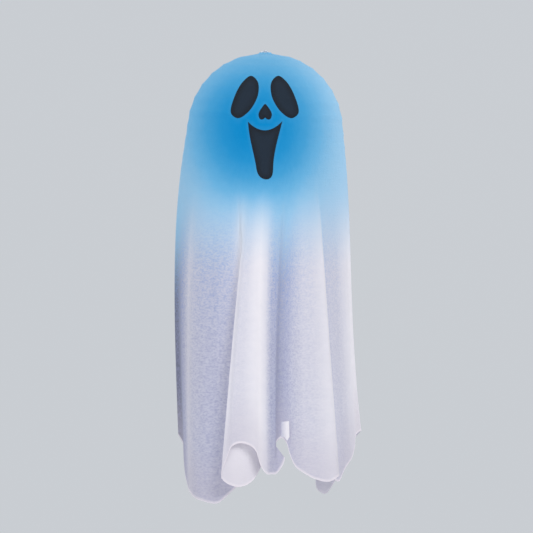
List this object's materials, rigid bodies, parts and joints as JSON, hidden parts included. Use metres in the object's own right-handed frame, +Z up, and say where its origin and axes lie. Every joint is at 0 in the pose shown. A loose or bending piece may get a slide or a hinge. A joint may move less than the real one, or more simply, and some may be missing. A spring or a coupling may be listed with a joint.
{
  "type": "ghost lantern",
  "caption": "Hanging ghost lantern: a round wire lantern under a sheer white cloth ghost with a dark face, lit blue from a battery light in the head.",
  "frame": {"origin": "where the hanging eye's inner top bears on a hook or cord", "axes": "+Z up, the face looks along -Y, +X to the right as the face is seen"},
  "size_m": [0.2501, 0.2441, 0.611],
  "materials": {
    "cloth": "sheer matte cloth, lit blue from inside the head",
    "face": "thin matte felt",
    "lantern_skin": "thin matte lantern cloth",
    "wire": "drawn steel wire",
    "white_wire": "white coated wire",
    "white_plastic": "fine matte moulding",
    "black_plastic": "matte",
    "screw": "zinc plated",
    "contact": "nickel plated spring steel",
    "board": "white solder mask",
    "led": "clear blue tinted, lit",
    "diffuser": "frosted, lit from behind",
    "cell": "plain bare sleeve"
  },
  "bodies": {
    "lantern": {"expander": "white_wire", "top_ring": "wire", "bottom_ring": "wire", "spiral_wire": "wire", "lantern_skin": "lantern_skin", "shroud": "cloth", "left_eye_patch": "face", "right_eye_patch": "face", "nose_patch": "face", "mouth_patch": "face"},
    "lamp": {"lamp_case": "white_plastic", "lamp_base": "white_plastic", "base_screw_left": "screw", "base_screw_right": "screw", "led_board": "board", "led_1": "led", "led_2": "led", "led_3": "led", "diffuser_dome": "diffuser", "switch_body": "contact", "cell_left": "cell", "cell_middle": "cell", "cell_right": "cell", "contact_negative": "contact", "contact_positive": "contact", "contact_bridge_upper": "contact", "contact_bridge_lower": "contact"},
    "door": {"battery_door": "white_plastic", "door_screw": "screw"},
    "switch": {"switch_slider": "black_plastic"}
  },
  "joints": [
    {"name": "lamp_swing", "type": "hinge", "parent": "lantern", "child": "lamp", "pos_m": [0, 0, -0.01327], "axis": [1, 0, 0], "range_deg": [-20, 20]},
    {"name": "battery_door_hinge", "type": "hinge", "parent": "lamp", "child": "door", "pos_m": [0, 0.007, -0.07647], "axis": [-1, 0, 0], "range_deg": [0, 90]},
    {"name": "power_switch", "type": "slide", "parent": "lamp", "child": "switch", "axis": [1, 0, 0], "range_m": [0, 0.003]}
  ]
}
